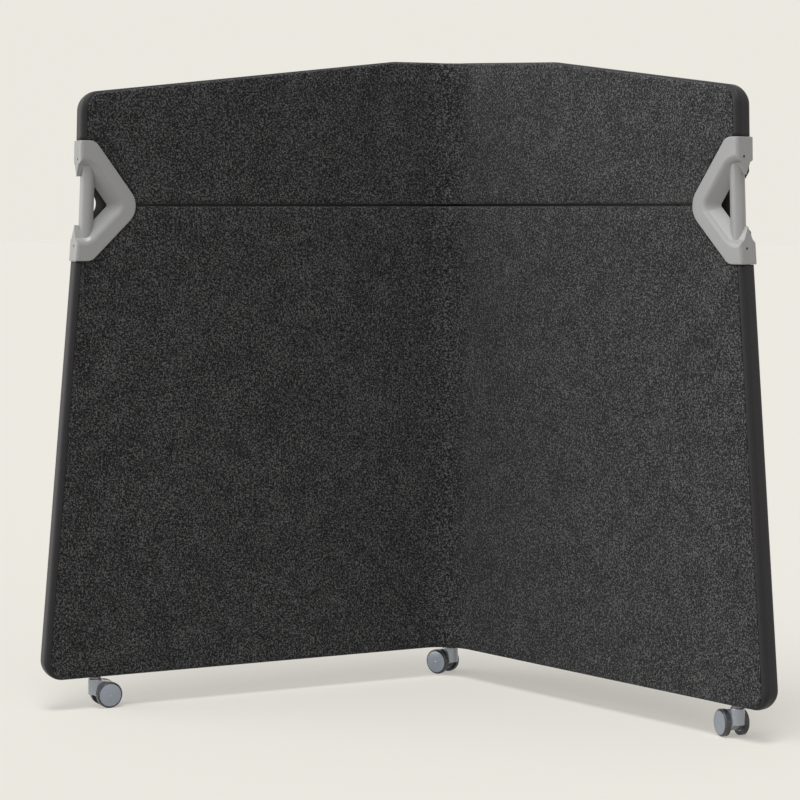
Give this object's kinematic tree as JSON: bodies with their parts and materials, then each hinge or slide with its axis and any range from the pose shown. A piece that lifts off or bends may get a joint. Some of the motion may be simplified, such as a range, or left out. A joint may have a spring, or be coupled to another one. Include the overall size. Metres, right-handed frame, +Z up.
{
  "type": "mobile acoustic screen",
  "caption": "Folded padded acoustic screen: two tapering wings on a hinged post, let-in grips at the outer edges, and twin-wheel swivel casters.",
  "frame": {"origin": "on the floor, under the middle of the bounding box, with the screen folded as pictured", "axes": "+Z up, +X along the width of the folded screen, hollow side towards -Y"},
  "size_m": [1.5204, 0.6444, 1.361],
  "materials": {
    "melange_fabric": "matt melange weave",
    "edge_knit": "smooth dark knit",
    "core_felt": "pressed fibre board",
    "frame_steel": "powder coat",
    "hinge_steel": "zinc plated",
    "screw_steel": "black oxide",
    "grip_plastic": "satin light grey",
    "liner_plastic": "fine dark grey",
    "caster_grey": "satin grey",
    "hub_grey": "satin blue grey",
    "tyre_rubber": "soft tread"
  },
  "bodies": {
    "left_wing": {"left_hinge_stile": "frame_steel", "left_top_rail": "frame_steel", "left_bottom_rail": "frame_steel", "left_mid_rail": "frame_steel", "left_end_stiles": "frame_steel", "left_grip_liner": "liner_plastic", "left_acoustic_core": "core_felt", "left_lower_band": "edge_knit", "left_upper_band": "edge_knit", "left_lower_front_pad": "melange_fabric", "left_upper_front_pad": "melange_fabric", "left_lower_back_pad": "melange_fabric", "left_upper_back_pad": "melange_fabric", "left_handle_front": "grip_plastic", "left_handle_back": "grip_plastic", "left_grip_bar": "grip_plastic", "left_handle_screws": "screw_steel", "left_hinge_leaves": "hinge_steel", "centre_post": "hinge_steel", "spine_front_pad": "melange_fabric", "spine_back_pad": "melange_fabric", "left_caster_stem": "hinge_steel", "centre_caster_stem": "hinge_steel"},
    "right_wing": {"right_hinge_stile": "frame_steel", "right_top_rail": "frame_steel", "right_bottom_rail": "frame_steel", "right_mid_rail": "frame_steel", "right_end_stiles": "frame_steel", "right_grip_liner": "liner_plastic", "right_acoustic_core": "core_felt", "right_lower_band": "edge_knit", "right_upper_band": "edge_knit", "right_lower_front_pad": "melange_fabric", "right_upper_front_pad": "melange_fabric", "right_lower_back_pad": "melange_fabric", "right_upper_back_pad": "melange_fabric", "right_handle_front": "grip_plastic", "right_handle_back": "grip_plastic", "right_grip_bar": "grip_plastic", "right_handle_screws": "screw_steel", "right_hinge_leaves": "hinge_steel", "right_caster_stem": "hinge_steel"},
    "left_caster": {"left_caster_body": "caster_grey", "left_caster_axle": "hinge_steel"},
    "left_wheel_1": {"left_caster_hub_1": "hub_grey", "left_caster_tyre_1": "tyre_rubber"},
    "left_wheel_2": {"left_caster_hub_2": "hub_grey", "left_caster_tyre_2": "tyre_rubber"},
    "centre_caster": {"centre_caster_body": "caster_grey", "centre_caster_axle": "hinge_steel"},
    "centre_wheel_1": {"centre_caster_hub_1": "hub_grey", "centre_caster_tyre_1": "tyre_rubber"},
    "centre_wheel_2": {"centre_caster_hub_2": "hub_grey", "centre_caster_tyre_2": "tyre_rubber"},
    "right_caster": {"right_caster_body": "caster_grey", "right_caster_axle": "hinge_steel"},
    "right_wheel_1": {"right_caster_hub_1": "hub_grey", "right_caster_tyre_1": "tyre_rubber"},
    "right_wheel_2": {"right_caster_hub_2": "hub_grey", "right_caster_tyre_2": "tyre_rubber"}
  },
  "joints": [
    {"name": "fold", "type": "hinge", "parent": "left_wing", "child": "right_wing", "pos_m": [0, 0.27724, 0.7], "axis": [0, 0, 1], "range_deg": [-44, 76], "deforming": ["spine_front_pad", "spine_back_pad"]},
    {"name": "left_swivel", "type": "hinge", "parent": "left_wing", "child": "left_caster", "pos_m": [-0.66114, -0.2393, 0.05], "axis": [0, 0, 1], "continuous": true},
    {"name": "left_wheel_1_spin", "type": "hinge", "parent": "left_caster", "child": "left_wheel_1", "pos_m": [-0.64249, -0.22419, 0.0275], "axis": [-0.6293, 0.7771, 0], "continuous": true},
    {"name": "left_wheel_2_spin", "type": "hinge", "parent": "left_caster", "child": "left_wheel_2", "pos_m": [-0.64249, -0.22419, 0.0275], "axis": [-0.6293, 0.7771, 0], "continuous": true},
    {"name": "centre_swivel", "type": "hinge", "parent": "left_wing", "child": "centre_caster", "pos_m": [0, 0.27724, 0.05], "axis": [0, 0, 1], "continuous": true},
    {"name": "centre_wheel_1_spin", "type": "hinge", "parent": "centre_caster", "child": "centre_wheel_1", "pos_m": [-0.02175, 0.28739, 0.0275], "axis": [-0.4226, -0.9063, 0], "continuous": true},
    {"name": "centre_wheel_2_spin", "type": "hinge", "parent": "centre_caster", "child": "centre_wheel_2", "pos_m": [-0.02175, 0.28739, 0.0275], "axis": [-0.4226, -0.9063, 0], "continuous": true},
    {"name": "right_swivel", "type": "hinge", "parent": "right_wing", "child": "right_caster", "pos_m": [0.67848, -0.25284, 0.05], "axis": [0, 0, 1], "continuous": true},
    {"name": "right_wheel_1_spin", "type": "hinge", "parent": "right_caster", "child": "right_wheel_1", "pos_m": [0.66562, -0.23258, 0.0275], "axis": [-0.8443, -0.5358, 0], "continuous": true},
    {"name": "right_wheel_2_spin", "type": "hinge", "parent": "right_caster", "child": "right_wheel_2", "pos_m": [0.66562, -0.23258, 0.0275], "axis": [-0.8443, -0.5358, 0], "continuous": true}
  ]
}
